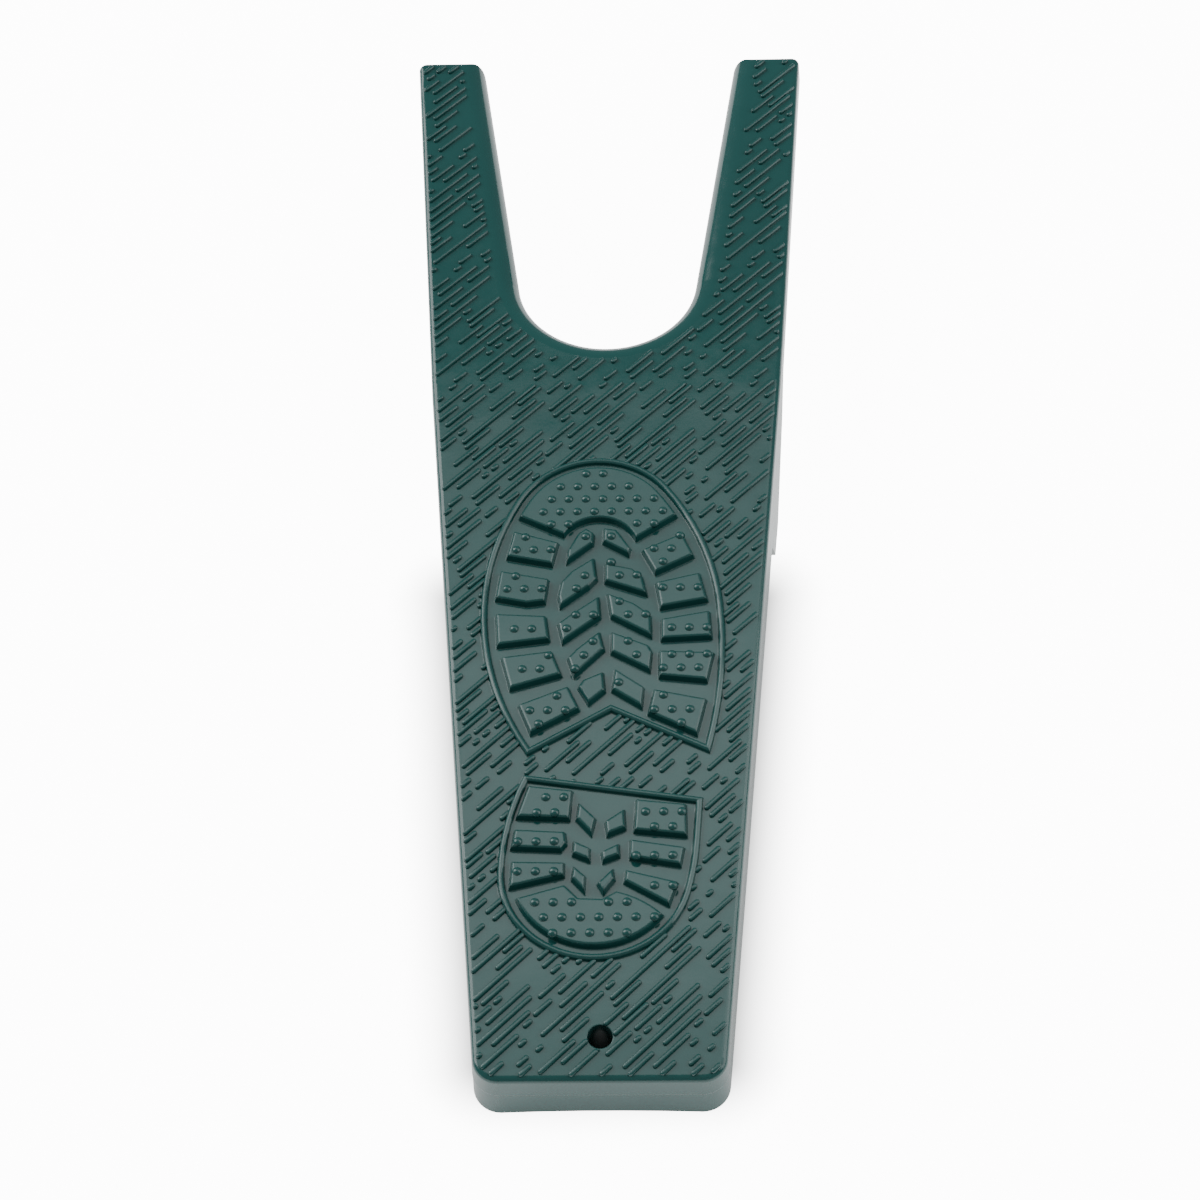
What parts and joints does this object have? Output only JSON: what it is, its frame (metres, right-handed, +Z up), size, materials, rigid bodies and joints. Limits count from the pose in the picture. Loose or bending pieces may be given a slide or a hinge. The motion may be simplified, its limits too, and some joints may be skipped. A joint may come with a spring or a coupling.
{
  "type": "boot jack",
  "caption": "Wedge-shaped moulded plastic boot jack: leaning deck with a U-shaped fork, raised boot-sole print, ribbed underside, moulded leg, hanging hole and push-in rubber feet.",
  "frame": {"origin": "on the floor, under the middle of the jack's width and length", "axes": "+Z up, +X to the right, +Y from the heel end to the fork"},
  "size_m": [0.1092, 0.3142, 0.04],
  "materials": {
    "green_plastic": "gloss",
    "foot_rubber": "matte"
  },
  "bodies": {
    "root": {"body": "green_plastic", "heel_foot_left": "foot_rubber", "heel_foot_right": "foot_rubber", "leg_foot_left": "foot_rubber", "leg_foot_right": "foot_rubber"}
  },
  "joints": []
}
